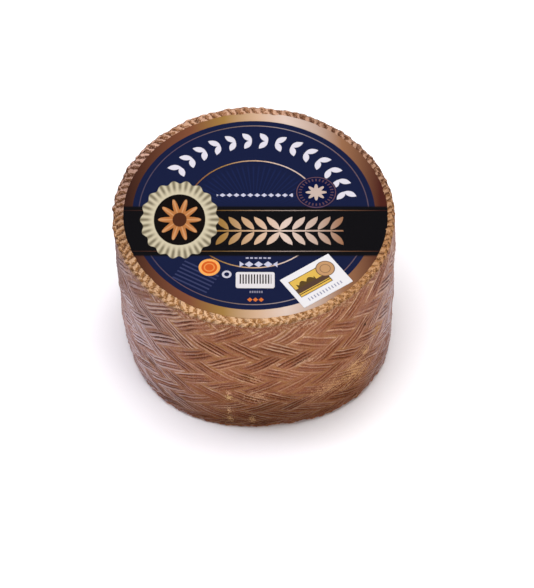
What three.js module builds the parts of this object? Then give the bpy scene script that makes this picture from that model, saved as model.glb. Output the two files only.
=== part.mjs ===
// A pressed hard-cheese wheel. Its side keeps the imprint of the plaited grass band that it was
// pressed in, its rim is a ring of small knots, a round paper label lies on its upper face, and a
// small control sticker lies on the label. Millimetres, +Z up, front towards -Y.
// The wheel stands on its flat lower face, and the origin is at the middle of that face.
import * as THREE from "three";
import { mergeVertices } from "three/addons/utils/BufferGeometryUtils.js";

// Heights above the resting face
const labelFaceHeight = 116.1;
const labelThickness = 0.3;
const stickerThickness = 0.25;
const layerGap = 0.3;
const seatHeight = labelFaceHeight - labelThickness - layerGap;
const rimHeight = 116.0;

// The side's outline: outer radius at shares of the height, slightly barrelled and narrower below
const sideOutline = [
  { share: 0, radius: 91.5 },
  { share: 0.09, radius: 92.6 },
  { share: 0.5, radius: 93.2 },
  { share: 0.85, radius: 93.8 },
  { share: 1, radius: 93.4 },
];
// The fresh cheese settled a little to one side, and its foot went slightly square
const footLean = 3.0;
const footSquareness = 1.5;
const footSides = 4;
const footSquareTurn = THREE.MathUtils.degToRad(6);

// The plait: floats of straw, two over and two under, in rows that lean left and right by turns
const blocksAround = 25;
const rowsOfFloats = 9;
const strawsInFloat = 4;
const floatLength = 2;
const weavePhase = THREE.MathUtils.degToRad(-1);
const weaveDepth = 1.2;
const strawHeight = 1.3;
const strawTip = 0.3;
const floatUnevenness = 0.3;
const innerStrawShare = 1.08;
const outerStrawShare = 0.9;
const plaitSeed = 41;
const lowestRing = { base: 0.2, step: 3.66, growth: 0.127 };
const weaveFoot = 2.4;
const weaveTop = 112.3;

// The rim: knots left by the plait's edge, from the groove under them to the label's seat
const knotsPerBlock = 4;
const knotOut = 0.7;
const knotUp = 0.4;
const knotSeed = 97;
const grooveHeight = 113.6;
const grooveDepth = 0.9;
const rimEdgeHeight = 115.2;
const rimTopInset = 1.9;
const seatRadius = 89.4;

// The lower edge, rounded in two steps
const footEdgeHeight = 0.9;
const footEdgeInset = 0.4;
const footFlatInset = 1.6;

// The label, cut slightly off centre, and the sticker on it
const labelRadius = 87.4;
const labelShift = 1.15;
const labelSides = 120;
const stickerWidth = 38.8;
const stickerDepth = 28.0;
const stickerCorner = 0.6;
const stickerPlace = new THREE.Vector2(40.8, -56.5);
const stickerTurn = THREE.MathUtils.degToRad(34.7);

const stepsAround = 2 * strawsInFloat * blocksAround;

// A small repeatable random draw between 0 and 1, by the usual multiplying generator
function makeDraw(seed) {
  const factor = 16807;
  const modulus = 2147483647;
  let state = seed;
  return () => {
    state = (state * factor) % modulus;
    return state / modulus;
  };
}

// Outer radius of the side at a height
function outerRadius(z) {
  const share = THREE.MathUtils.clamp(z / rimHeight, 0, 1);
  const upper = sideOutline.find((station, i) => i > 0 && share <= station.share);
  const lower = sideOutline[sideOutline.indexOf(upper) - 1];
  const mix = (share - lower.share) / (upper.share - lower.share);
  return THREE.MathUtils.lerp(lower.radius, upper.radius, mix);
}

// A point on the wheel, turned from the front towards +X, with the foot's lean and squareness
function wheelPoint(turn, z, radius) {
  const low = 1 - z / rimHeight;
  const r = radius - footSquareness * low * Math.cos(footSides * (turn - footSquareTurn));
  return new THREE.Vector3(r * Math.sin(turn) + footLean * low, -r * Math.cos(turn), z);
}

// Height of a ring of the plait's lattice: the rings crowd together towards the foot
function ringHeight(ring) {
  const { base, step, growth } = lowestRing;
  return THREE.MathUtils.clamp(base + step * ring + growth * ring * ring, weaveFoot, weaveTop);
}

function latticeTurn(across) {
  return weavePhase + (across * Math.PI) / blocksAround;
}

// A point of the plait's lattice, lifted off the bottom of its grooves
function latticePoint(across, ring, lift) {
  const z = ringHeight(ring);
  return wheelPoint(latticeTurn(across), z, outerRadius(z) - weaveDepth + lift);
}

// Triangles from a chain of edge points to the two ends of a straw's crest
function addSlope(faces, edge, crestStart, crestEnd, flip) {
  const turnOver = Math.floor((edge.length - 1) / 2);
  const add = (a, b, c) => faces.push(...(flip ? [a, c, b] : [a, b, c]));
  edge.slice(1).forEach((point, i) => {
    add(edge[i], point, i < turnOver ? crestStart : crestEnd);
  });
  add(edge[turnOver], crestEnd, crestStart);
}

// One float: straws side by side, each a low roof that is hipped at both ends. Half of each long
// side meets the ends of crossing straws, so that half has a stop at every straw.
function addFloat(faces, start, along, beside, height, flip) {
  const at = (a, b, lift) =>
    latticePoint(
      start.x + a * along.x + b * beside.x,
      start.y + a * along.y + b * beside.y,
      lift,
    );
  const shares = [...Array(strawsInFloat).keys()].map((i) => (i + 1) / strawsInFloat);
  const nearOuterStops = [0, 1, ...shares.map((share) => 1 + share)];
  const farOuterStops = [0, ...shares, floatLength];
  for (let straw = 0; straw < strawsInFloat; straw++) {
    const near = straw / strawsInFloat;
    const far = (straw + 1) / strawsInFloat;
    const middle = (near + far) / 2;
    const inner = straw > 0 && straw < strawsInFloat - 1;
    const lift = height * (inner ? innerStrawShare : outerStrawShare);
    const crestStart = at(strawTip, middle, lift);
    const crestEnd = at(floatLength - strawTip, middle, lift);
    const nearStops = straw === 0 ? nearOuterStops : [0, floatLength];
    const farStops = straw === strawsInFloat - 1 ? farOuterStops : [0, floatLength];
    const nearEdge = nearStops.map((a) => at(a, near, 0));
    const farEdge = farStops.map((a) => at(a, far, 0));
    addSlope(faces, nearEdge, crestStart, crestEnd, flip);
    addSlope(faces, farEdge, crestStart, crestEnd, !flip);
    const ends = flip
      ? [nearEdge[0], farEdge[0], crestStart, farEdge.at(-1), nearEdge.at(-1), crestEnd]
      : [nearEdge[0], crestStart, farEdge[0], nearEdge.at(-1), farEdge.at(-1), crestEnd];
    faces.push(...ends);
  }
}

// All rows of floats: even rows climb to the right, odd rows fall to the right
function addPlait(faces) {
  const draw = makeDraw(plaitSeed);
  const climbing = new THREE.Vector2(1, 1);
  const falling = new THREE.Vector2(1, -1);
  for (let row = 0; row < rowsOfFloats; row++) {
    const climbs = row % 2 === 0;
    for (let block = 0; block < blocksAround; block++) {
      const start = new THREE.Vector2(2 * block + (climbs ? 1 : 0), 2 * row + (climbs ? 1 : 2));
      const height = strawHeight * (1 - floatUnevenness * draw());
      if (climbs) addFloat(faces, start, climbing, falling, height, true);
      else addFloat(faces, start, falling, climbing, height, false);
    }
  }
}

// The zigzag border that the plait ends in, one point per straw
function plaitBorder(lowRing) {
  return [...Array(stepsAround).keys()].map((step) => {
    const across = step / strawsInFloat;
    const climb = across % 2;
    return latticePoint(across, lowRing + (climb <= 1 ? climb : 2 - climb), 0);
  });
}

function ringOf(radiusAndHeight) {
  return [...Array(stepsAround).keys()].map((step) => {
    const { radius, z } = radiusAndHeight(step);
    return wheelPoint(latticeTurn(step / strawsInFloat), z, radius);
  });
}

// A closed band of triangles between two rings, the first below or outside the second
function addBand(faces, lower, upper) {
  lower.forEach((point, i) => {
    const next = (i + 1) % lower.length;
    faces.push(point, lower[next], upper[next]);
    faces.push(point, upper[next], upper[i]);
  });
}

function addDisc(faces, ring, facesUp) {
  const middle = ring.reduce((sum, p) => sum.add(p), new THREE.Vector3());
  middle.divideScalar(ring.length);
  ring.forEach((point, i) => {
    const next = ring[(i + 1) % ring.length];
    faces.push(middle, ...(facesUp ? [point, next] : [next, point]));
  });
}

// From the plait's upper border over the knots to the flat seat of the label
function addRim(faces) {
  const draw = makeDraw(knotSeed);
  const stepsPerKnot = stepsAround / (blocksAround * knotsPerBlock);
  const knots = [...Array(stepsAround).keys()].map((step) =>
    step % stepsPerKnot === 0 ? -draw() : draw(),
  );
  const crown = outerRadius(rimHeight);
  const groove = ringOf(() => ({ radius: outerRadius(grooveHeight) - grooveDepth, z: grooveHeight }));
  const edge = ringOf((step) => ({ radius: crown + knotOut * knots[step], z: rimEdgeHeight }));
  const top = ringOf((step) => ({
    radius: crown - rimTopInset,
    z: rimHeight + knotUp * knots[step],
  }));
  const seat = ringOf(() => ({ radius: seatRadius, z: seatHeight }));
  addBand(faces, plaitBorder(2 * rowsOfFloats), groove);
  addBand(faces, groove, edge);
  addBand(faces, edge, top);
  addBand(faces, top, seat);
  addDisc(faces, seat, true);
}

// From the plait's lower border round the edge to the flat resting face
function addFoot(faces) {
  const foot = outerRadius(0);
  const edge = ringOf(() => ({ radius: foot - footEdgeInset, z: footEdgeHeight }));
  const flat = ringOf(() => ({ radius: foot - footFlatInset, z: 0 }));
  addBand(faces, edge, plaitBorder(0));
  addBand(faces, flat, edge);
  addDisc(faces, flat, false);
}

function makeWheel() {
  const faces = [];
  addPlait(faces);
  addRim(faces);
  addFoot(faces);
  const geometry = mergeVertices(new THREE.BufferGeometry().setFromPoints(faces));
  geometry.computeVertexNormals();
  const rind = new THREE.MeshStandardMaterial({ color: "#966a52", roughness: 0.5, metalness: 0 });
  const wheel = new THREE.Mesh(geometry, rind);
  wheel.name = "cheese_wheel";
  return wheel;
}

function makeLabel() {
  const disc = new THREE.CylinderGeometry(labelRadius, labelRadius, labelThickness, labelSides);
  disc.rotateX(Math.PI / 2);
  const paper = new THREE.MeshStandardMaterial({ color: "#1d2352", roughness: 0.3, metalness: 0 });
  const label = new THREE.Mesh(disc, paper);
  label.name = "top_label";
  label.position.set(labelShift, 0, labelFaceHeight - labelThickness / 2);
  return label;
}

// A rectangle with small round corners, its middle at the origin
function stickerOutline() {
  const shape = new THREE.Shape();
  const x = stickerWidth / 2 - stickerCorner;
  const y = stickerDepth / 2 - stickerCorner;
  shape.absarc(x, y, stickerCorner, 0, Math.PI / 2);
  shape.absarc(-x, y, stickerCorner, Math.PI / 2, Math.PI);
  shape.absarc(-x, -y, stickerCorner, Math.PI, 1.5 * Math.PI);
  shape.absarc(x, -y, stickerCorner, 1.5 * Math.PI, 2 * Math.PI);
  return shape;
}

function makeSticker() {
  const cut = { depth: stickerThickness, bevelEnabled: false, curveSegments: 3 };
  const sheet = new THREE.ExtrudeGeometry(stickerOutline(), cut);
  const paper = new THREE.MeshStandardMaterial({ color: "#efe9df", roughness: 0.5, metalness: 0 });
  const sticker = new THREE.Mesh(sheet, paper);
  sticker.name = "control_sticker";
  sticker.position.set(stickerPlace.x, stickerPlace.y, labelFaceHeight + layerGap);
  sticker.rotation.z = stickerTurn;
  return sticker;
}

// The three pieces, moved so that the wheel's middle stands over the origin
function makeCheese() {
  const wheel = makeWheel();
  const middle = new THREE.Box3().setFromObject(wheel).getCenter(new THREE.Vector3());
  const cheese = new THREE.Group();
  cheese.add(wheel, makeLabel(), makeSticker());
  cheese.position.set(-middle.x, -middle.y, 0);
  return cheese;
}

export default makeCheese();
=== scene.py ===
"""A whole pressed cheese wheel: its plaited rind, its printed label and its control sticker.

The rind is grown by a Geometry Nodes tree from the rule of the plait, two straws over and two
under, and the papers are thin sheets that lie on it. Blender works in metres here, +Z up, with the
front of the wheel towards -Y.
"""
import ast
import math
from types import SimpleNamespace

import bpy
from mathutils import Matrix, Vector, noise


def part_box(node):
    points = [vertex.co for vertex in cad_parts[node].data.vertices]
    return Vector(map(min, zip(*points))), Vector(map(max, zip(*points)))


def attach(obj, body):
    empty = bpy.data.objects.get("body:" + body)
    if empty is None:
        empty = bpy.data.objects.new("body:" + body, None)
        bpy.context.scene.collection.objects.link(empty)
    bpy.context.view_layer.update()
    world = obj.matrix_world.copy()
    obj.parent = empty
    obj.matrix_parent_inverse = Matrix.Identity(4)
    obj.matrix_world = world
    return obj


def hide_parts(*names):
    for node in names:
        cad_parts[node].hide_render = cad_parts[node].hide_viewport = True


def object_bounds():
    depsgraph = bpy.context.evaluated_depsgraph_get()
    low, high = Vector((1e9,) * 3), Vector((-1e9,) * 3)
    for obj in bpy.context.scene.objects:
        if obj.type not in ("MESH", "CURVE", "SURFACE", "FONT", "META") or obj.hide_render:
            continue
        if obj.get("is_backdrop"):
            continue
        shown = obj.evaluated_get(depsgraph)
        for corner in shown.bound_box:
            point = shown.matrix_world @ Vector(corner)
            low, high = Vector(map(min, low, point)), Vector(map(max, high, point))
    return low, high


bl_info = {
    "name": "Pressed cheese wheel",
    "version": (1, 0, 0),
    "blender": (4, 5, 0),
    "location": "3D View > Sidebar > Cheese",
    "description": "Makes a cheese wheel with a plaited rind, a printed label and a sticker",
    "category": "Add Mesh",
}

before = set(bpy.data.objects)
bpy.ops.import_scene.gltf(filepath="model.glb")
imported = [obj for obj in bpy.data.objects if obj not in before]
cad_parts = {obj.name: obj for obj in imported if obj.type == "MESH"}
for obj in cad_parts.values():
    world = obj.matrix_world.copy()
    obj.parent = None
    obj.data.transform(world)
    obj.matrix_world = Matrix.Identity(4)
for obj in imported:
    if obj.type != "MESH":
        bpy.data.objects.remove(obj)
cad_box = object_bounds()
MM = 0.001

# The wheel's outline: outer radius in mm at shares of the rim's height, which is in mm too
RIM_HEIGHT = 116.0
SIDE_OUTLINE = ((0, 91.5), (0.09, 92.6), (0.5, 93.2), (0.85, 93.8), (1, 93.4))
# Heights in mm of the plait's rings: base + step * ring + growth * ring * ring
RING_BASE, RING_STEP, RING_GROWTH = 0.2, 3.66, 0.127
FIRST_RING, LAST_RING = 0.5, 18.5
# How far the plait's grooves lie inside the outline, in mm
PLAIT_INSET = 1.2
# How far the foot stands aside, how square it is, and how the square and the plait are turned
FOOT_LEAN, FOOT_SQUARENESS = 3.0 * MM, 1.5 * MM
SQUARE_TURN, PLAIT_TURN = math.radians(6), math.radians(-1)
# The mesh of the side: steps for one unit of the plait's lattice, and rows under and round the foot
STEPS = 8
UNDER_ROWS, FOOT_ROWS = 6, 4
# The mesh of the rim is twice as fine around as the side's, and has eight rows for a row of knots
RIM_ROWS, SEAT_ROWS = 24, 4
TINY = 0.001
# Points of the side and the rim that are closer than this are one
JOIN_DISTANCE = 0.02 * MM

LABEL_LOW, LABEL_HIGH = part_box("top_label")
LABEL_MIDDLE = (LABEL_LOW + LABEL_HIGH) / 2
LABEL_RADIUS = (LABEL_HIGH.x - LABEL_LOW.x) / 2
LABEL_SHIFT = 1.15 * MM
# The printed circles share their middle with the wheel's rim, as the label was cut off centre
PRINT_MIDDLE = LABEL_MIDDLE - Vector((LABEL_SHIFT, 0, 0))
STICKER_LOW, STICKER_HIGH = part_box("control_sticker")
STICKER_MIDDLE = (STICKER_LOW + STICKER_HIGH) / 2
STICKER_WIDTH, STICKER_DEPTH, STICKER_CORNER = 38.8 * MM, 28.0 * MM, 0.6 * MM
STICKER_THICKNESS, STICKER_GAP = 0.25 * MM, 0.02 * MM
# How finely the papers are divided: sides of the label, rings of both, steps of the sticker's edge
LABEL_SIDES, LABEL_RINGS, STICKER_RINGS, STICKER_STEP = 256, 24, 10, 2 * MM
CORNER_STEPS = 3
STICKER_TURN = math.radians(34.7)
# The faint waves of the papers, and where they are cut out of the noise
WAVE_HEIGHT, WAVE_LENGTH, WAVE_PLACE = 0.12 * MM, 34 * MM, 0.3


def linear_colour(code, alpha=1.0):
    """Turns an sRGB hex colour into the linear values that Blender's sockets take."""
    parts = [int(code[i : i + 2], 16) / 255 for i in (1, 3, 5)]
    return (*(p / 12.92 if p <= 0.04045 else ((p + 0.055) / 1.055) ** 2.4 for p in parts), alpha)


def add(tree, kind, inputs=None, **settings):
    """Adds a node with its settings and inputs, and returns its first output in use."""
    node = tree.nodes.new(kind)
    for name, value in settings.items():
        setattr(node, name, value)
    sockets = [socket for socket in node.inputs if socket.enabled]
    for name, value in (inputs or {}).items():
        by_name = (socket for socket in sockets if socket.name == name)
        socket = sockets[name] if isinstance(name, int) else next(by_name)
        if isinstance(value, bpy.types.NodeSocket):
            tree.links.new(value, socket)
        else:
            socket.default_value = value
    return next((socket for socket in node.outputs if socket.enabled), None)


OPERATIONS = {
    ast.Add: "ADD",
    ast.Sub: "SUBTRACT",
    ast.Mult: "MULTIPLY",
    ast.Div: "DIVIDE",
    ast.Mod: "FLOORED_MODULO",
    ast.Pow: "POWER",
    ast.Lt: "LESS_THAN",
    ast.Gt: "GREATER_THAN",
    "abs": "ABSOLUTE",
    "floor": "FLOOR",
    "round": "ROUND",
    "sqrt": "SQRT",
    "sin": "SINE",
    "cos": "COSINE",
    "angle": "ARCTAN2",
    "min": "MINIMUM",
    "max": "MAXIMUM",
}
RAMPS = {"slope": "LINEAR", "ease": "SMOOTHSTEP"}
CONSTANTS = {"pi": math.pi, "degrees": math.degrees(1), "mm": MM, "tiny": TINY}

# What formulas share: a square, a length, the share or the distance from the middle of each stretch
# of a pitch, and a leaf that leans by 52 degrees
SHARED = """
square = lambda x: x * x
length = lambda x, y: sqrt(square(x) + square(y))
repeat = lambda x, pitch: x / pitch - floor(x / pitch) - 0.5
cell = lambda x, pitch: repeat(x, pitch) * pitch
leaf = lambda x, y, half_width, taper: ease(
    abs(y * 0.62 - x * 0.785) - half_width * (1 - square(x * 0.62 + y * 0.785) / taper),
    0.15,
    -0.15,
)
"""
RULES = {line.targets[0].id: line.value for line in ast.parse(SHARED).body}


def work_out(tree, formulas, **known):
    """Adds the math nodes for lines such as low = 1 - height / top, and returns the named values.

    slope(x, a, b) and ease(x, a, b) go from 0 at a to 1 at b, straight or in an S. The formulas of
    SHARED are used by their names.
    """

    def build(part, names):
        if isinstance(part, ast.Constant):
            return part.value
        if isinstance(part, ast.Name):
            return names[part.id]
        if isinstance(part, ast.UnaryOp):
            kind, parts = ast.Mult, [ast.Constant(-1), part.operand]
        elif isinstance(part, ast.BinOp):
            kind, parts = type(part.op), [part.left, part.right]
        elif isinstance(part, ast.Compare):
            kind, parts = type(part.ops[0]), [part.left, part.comparators[0]]
        else:
            kind, parts = part.func.id, part.args
        values = [build(item, names) for item in parts]
        if kind in RULES:
            arguments = [argument.arg for argument in RULES[kind].args.args]
            return build(RULES[kind].body, dict(zip(arguments, values)))
        inputs = dict(enumerate(values))
        if kind in RAMPS:
            return add(tree, "ShaderNodeMapRange", inputs, interpolation_type=RAMPS[kind])
        return add(tree, "ShaderNodeMath", inputs, operation=OPERATIONS[kind])

    known = CONSTANTS | known
    for line in ast.parse(formulas).body:
        known[line.targets[0].id] = build(line.value, known)
    return SimpleNamespace(**known)


def vector_of(tree, *values):
    """Three values as one vector."""
    return add(tree, "ShaderNodeCombineXYZ", dict(zip("XYZ", values)))


def parts_of(tree, vector):
    """The three parts of a vector."""
    return add(tree, "ShaderNodeSeparateXYZ", {0: vector}).node.outputs


def follow(tree, place, stations):
    """A value that runs straight from station to station, each a (place, value) pair."""
    total = stations[0][1]
    for (start, first), (end, last) in zip(stations, stations[1:]):
        limits = {"Value": place, "From Min": start, "From Max": end, "To Max": last - first}
        rise = add(tree, "ShaderNodeMapRange", limits)
        total = add(tree, "ShaderNodeMath", {0: total, 1: rise}, operation="ADD")
    return total


def paint(tree, base, *layers):
    """Lays colours over a base colour, each a (colour, share) pair with the share that covers."""
    for colour, share in layers:
        colour = linear_colour(colour) if isinstance(colour, str) else colour
        base = linear_colour(base) if isinstance(base, str) else base
        inputs = {"Factor": share, "A": base, "B": colour}
        base = add(tree, "ShaderNodeMix", inputs, data_type="RGBA")
    return base


def new_material(name):
    """A material with an empty tree but for its shader and output, and the shader's node."""
    material = bpy.data.materials.new(name)
    material.use_nodes = True
    return material, material.node_tree, material.node_tree.nodes["Principled BSDF"]


def dress(tree, shader, **inputs):
    """Sets or links the shader's inputs, named with underscores for spaces."""
    for name, value in inputs.items():
        socket = shader.inputs[name.replace("_", " ")]
        if isinstance(value, bpy.types.NodeSocket):
            tree.links.new(value, socket)
        else:
            socket.default_value = value


def new_object(name, data):
    """An object in the scene, at the origin."""
    item = bpy.data.objects.new(name, data)
    bpy.context.scene.collection.objects.link(item)
    return item


def hand_over(piece, node):
    """Lets a finished piece stand for its CAD node."""
    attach(piece, "root")
    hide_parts(node)


# The rind's shape


# A point on the wheel: the foot leans to one side and is slightly square
WHEEL_POINT = """
turn = phase + around * pi / blocks
low = 1 - height / rim_height
out = share * (radius - squareness * low * cos(4 * (turn - square_turn)))
x = out * sin(turn) + lean * low + middle_x
y = middle_y - out * cos(turn)
"""

# The place of a point of the side: its ring and its height, its share of the way out from the
# middle, and its place i, j in the plait's lattice, which slants both ways. The zone is -1 on the
# underside and 0 on the plait, and 1 on the rim.
SIDE_PLACE = """
around = column / steps
ring = max(row - start, 0) / steps + first
height = foot + (base + step * ring + growth * ring * ring - first_height) * mm
height_share = height / rim_height
share = slope(row, 0, under)
zone = slope(row, start - 3, start) - 1
i = (around - ring) / 2
j = (around + ring) / 2
cell_i = i + tiny
cell_j = j + tiny
"""

# The float that a place belongs to, and how far it lies along and across that float. The cells of
# the lattice go two by two into floats, and the floats fall or climb to the right. Each float has a
# number of its own, in strides that are longer than a round of floats.
FLOAT_OF_PLACE = """
kind = (floor(cell_i) - floor(cell_j)) % 4
falls = kind < 2
start_i = floor(cell_i) - falls * kind
start_j = floor(cell_j) - (1 - falls) * (3 - kind)
along = falls * (i - start_i) + (1 - falls) * (j - start_j)
across = falls * (j - start_j) + (1 - falls) * (i - start_i)
number = (start_i + start_j) % (2 * blocks) + 101 * (start_j - start_i + 50)
"""

# Whether the edges of floats, or the straws, that run through a quad fall to the right
FALLING = """
i = (around - ring) / 2
j = (around + ring) / 2
near = (floor(i - tiny) - floor(j - tiny)) % 4 < 2
far = (floor(i + tiny) - floor(j + tiny)) % 4 < 2
on_i = abs(i - round(i)) < tiny
falling = near * far + (1 - on_i) * abs(near - far)
"""

# Straws side by side in a float: rounded crests, grooves that are deepest half way along, and
# raised lips where the cheese was squeezed between floats
STRAW_RELIEF = """
crest = 1 - unevenness * (0.6 * float_chance + 0.4 * straw_chance)
middle = abs(sin(pi * straws * across)) ** 0.7
spindle = ease(along, 0, 0.7) * ease(2 - along, 0, 0.7)
deep = (0.2 + 0.8 * ease(depth_chance, 0.36, 0.6)) * (0.7 + 0.3 * straw_chance)
groove = crest * (1 - deep * (0.5 + 0.5 * spindle))
outer = min(across, 1 - across) * straws < 0.5
lip = 0.5 + 0.6 * fine_chance
valley = outer * lip + (1 - outer) * groove
body = valley + (crest - valley) * middle
end = ease(min(along, 2 - along), 0, 0.3)
above_foot = slope(row, start - 4, start + 3)
below_rim = slope(row, last, last - 2)
relief = (0.5 + (lip + (body - lip) * end - 0.5) * below_rim) * above_foot
depth = (crest - groove) * end * above_foot * below_rim
"""

# Bars round the rim in two staggered rows, which lean away from where the rows meet. The mesh has
# eight rows for a row of knots, and its first has every other column, to meet the side. The upper
# bars' numbers start past those of the lower ones.
RIM_PLACE = """
even_column = column - (row < 0.5) * (column % 2)
around = even_column / (2 * steps)
knot_row = row / 8
share = slope(row, rows + seat_rows, rows)
lower_bar = 2 * around + 0.4 * abs(knot_row - 1.5)
number = floor(lower_bar) + 200 * (knot_row > 1.5)
"""

# The knots stop short of the label, which is pressed into the cheese
KNOT_RELIEF = """
lower_swell = abs(sin(pi * lower_bar)) ** 0.6
upper_swell = abs(sin(pi * (lower_bar + 0.5))) ** 0.6
upper = ease(knot_row, 1.3, 1.7)
swell = lower_swell + (upper_swell - lower_swell) * upper
past_label = length(x - label_x, y - label_y) - label_radius
below = row < 9
clear = max(slope(past_label, 0.0001, 0.0006), below)
knot = swell * (1 - 2 * unevenness * knot_chance)
relief = 0.5 + (knot - 0.5) * clear * slope(row, 2, 5)
sink = -0.0005 * (1 - max(ease(past_label, -0.0007, -0.0001), below))
"""


def ring_height(ring):
    """The height in mm of a ring of the plait."""
    return RING_BASE + RING_STEP * ring + RING_GROWTH * ring**2


def side_radius(height):
    """The outline's radius in mm at a height in mm in its uppermost stretch."""
    (low, low_radius), (high, high_radius) = SIDE_OUTLINE[-2:]
    return low_radius + (high_radius - low_radius) * (height / RIM_HEIGHT - low) / (high - low)


# Row of the mesh, height and inset in mm where the foot rounds
FOOT_OUTLINE = (
    (UNDER_ROWS, 0, 1.6),
    (UNDER_ROWS + 1, 0.25, 0.8),
    (UNDER_ROWS + 2, 0.9, 0.4),
    (UNDER_ROWS + FOOT_ROWS, ring_height(FIRST_RING), PLAIT_INSET),
)

# Row of the mesh, height and radius in mm of the groove under the rim, the rim and the label's seat
RIM_OUTLINE = (
    (0, ring_height(LAST_RING), side_radius(ring_height(LAST_RING)) - PLAIT_INSET),
    (2, 112.4, 92.3),
    (4, 113.2, 92.9),
    (6, 114.1, 93.3),
    (8, 115.0, 93.2),
    (10, 115.75, 92.6),
    (12, 116.1, 91.5),
    (18, 116.1, 88.45),
    (RIM_ROWS, 116.0, 85.4),
)


def add_grid(tree, blocks, steps, rows):
    """A grid that has twice the steps in columns for each block, and the fields that number its
    columns and rows from 0."""
    columns = work_out(tree, "points = 2 * steps * blocks + 1", steps=steps, blocks=blocks).points
    counts = {"Vertices X": columns, "Vertices Y": rows + 1}
    mesh = add(tree, "GeometryNodeMeshGrid", {"Size X": 1, "Size Y": 1, **counts})
    index = add(tree, "GeometryNodeInputIndex")
    text = "column = floor((index + 0.5) / stride)\nrow = index - column * stride"
    grid = work_out(tree, text, index=index, stride=rows + 1)
    return mesh, {"column": grid.column, "row": grid.row}


def follow_outline(tree, row, outline):
    """The second and third values of an outline's stations, in metres, for each row."""
    return [follow(tree, row, [(stop[0], stop[n] * MM) for stop in outline]) for n in (1, 2)]


def place_points(tree, mesh, place):
    """Wraps a grid round the wheel."""
    at = work_out(tree, WHEEL_POINT, **place)
    inputs = {"Geometry": mesh, "Position": vector_of(tree, at.x, at.y, at.height)}
    return add(tree, "GeometryNodeSetPosition", inputs)


def move_points(tree, mesh, offset):
    """Moves each point of the mesh by an offset."""
    return add(tree, "GeometryNodeSetPosition", {"Geometry": mesh, "Offset": offset})


def position(tree):
    """The coordinates of a point, by name."""
    return dict(zip("xyz", parts_of(tree, add(tree, "GeometryNodeInputPosition"))))


def store(tree, mesh, name, value, data_type="FLOAT", domain="POINT"):
    """Keeps a value on the mesh under a name, for the material or for a later step."""
    inputs = {"Geometry": mesh, "Name": name, "Value": value}
    return add(tree, "GeometryNodeStoreNamedAttribute", inputs, data_type=data_type, domain=domain)


def seen_from(tree, value, domain, data_type="FLOAT"):
    """The value as worked out at points or at the middle of faces, wherever it is used."""
    settings = {"data_type": data_type, "domain": domain}
    return add(tree, "GeometryNodeFieldOnDomain", {"Value": value}, **settings)


def store_lattice(tree, mesh, *values):
    """Keeps the place in the lattice and the zone on the corners of the faces."""
    vector = seen_from(tree, vector_of(tree, *values), "POINT", "FLOAT_VECTOR")
    return store(tree, mesh, "lattice", vector, "FLOAT_VECTOR", "CORNER")


def chance(tree, number, seed):
    """A steady random value between 0 and 1 for each whole number."""
    both = work_out(tree, "w = floor(number + 0.5) + seed * 0.37", number=number, seed=seed).w
    return add(tree, "ShaderNodeTexWhiteNoise", {"W": both}, noise_dimensions="1D")


def named_value(tree, name, data_type="FLOAT"):
    """A value that was kept on the mesh under a name."""
    return add(tree, "GeometryNodeInputNamedAttribute", {"Name": name}, data_type=data_type)


def unevenness_at(tree, size, detail=1.0):
    """Soft noise between 0 and 1 over the surface, with lumps of about the given size."""
    spot = add(tree, "GeometryNodeInputPosition")
    inputs = {"Vector": spot, "Scale": 1 / size, "Detail": detail}
    return add(tree, "ShaderNodeTexNoise", inputs)


def store_relief(tree, mesh, place):
    """Keeps the relief of the straws, and the depth of their grooves for the material."""
    text = "straw = min(floor(across * straws + tiny), straws - 1) + straws * number"
    place = vars(work_out(tree, FLOAT_OF_PLACE + text, **place))
    place["float_chance"] = chance(tree, place["number"], place["seed"])
    place["straw_chance"] = chance(tree, place["straw"], place["seed"])
    place["depth_chance"] = unevenness_at(tree, 25 * MM)
    place["fine_chance"] = unevenness_at(tree, 4 * MM)
    surface = work_out(tree, STRAW_RELIEF, **place)
    mesh = store(tree, mesh, "relief", surface.relief)
    return store(tree, mesh, "depth", surface.depth)


def split_quads(tree, mesh, blocks):
    """Splits each quad along the straws or the edges of floats that run through it, and keeps each
    corner's place in its float."""
    lattice = named_value(tree, "lattice", "FLOAT_VECTOR")
    around, ring, _ = parts_of(tree, lattice)
    corner = work_out(tree, FALLING, around=around, ring=ring)
    inputs = {"Mesh": mesh, "Selection": corner.falling}
    mesh = add(tree, "GeometryNodeTriangulate", inputs, quad_method="FIXED_ALTERNATE")
    mesh = add(tree, "GeometryNodeTriangulate", {"Mesh": mesh}, quad_method="FIXED")
    known = {"i": corner.i, "j": corner.j, "blocks": blocks}
    known |= {f"cell_{name}": seen_from(tree, known[name], "FACE") for name in "ij"}
    floats = work_out(tree, FLOAT_OF_PLACE, **known)
    straw = vector_of(tree, floats.along, floats.across, floats.number)
    return store(tree, mesh, "straw", straw, "FLOAT_VECTOR", "CORNER")


def add_side(tree, sizes):
    """The underside, the foot and the plaited side, up to the groove under the rim."""
    start = UNDER_ROWS + FOOT_ROWS
    last = start + int((LAST_RING - FIRST_RING) * STEPS)
    mesh, grid = add_grid(tree, sizes["blocks"], STEPS, last)
    foot, inset = follow_outline(tree, grid["row"], FOOT_OUTLINE)
    known = {"start": start, "last": last, "under": UNDER_ROWS, "steps": STEPS, "foot": foot}
    known |= {"first": FIRST_RING, "first_height": ring_height(FIRST_RING)}
    known |= {"base": RING_BASE, "step": RING_STEP, "growth": RING_GROWTH}
    place = vars(work_out(tree, SIDE_PLACE, **known, **grid, **sizes))
    outline = follow(tree, place["height_share"], [(s, r * MM) for s, r in SIDE_OUTLINE])
    place["radius"] = work_out(tree, "r = outline - inset", outline=outline, inset=inset).r
    mesh = place_points(tree, mesh, place)
    mesh = store_lattice(tree, mesh, place["around"], place["ring"], place["zone"])
    mesh = store_relief(tree, mesh, place)
    return split_quads(tree, mesh, sizes["blocks"])


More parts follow.
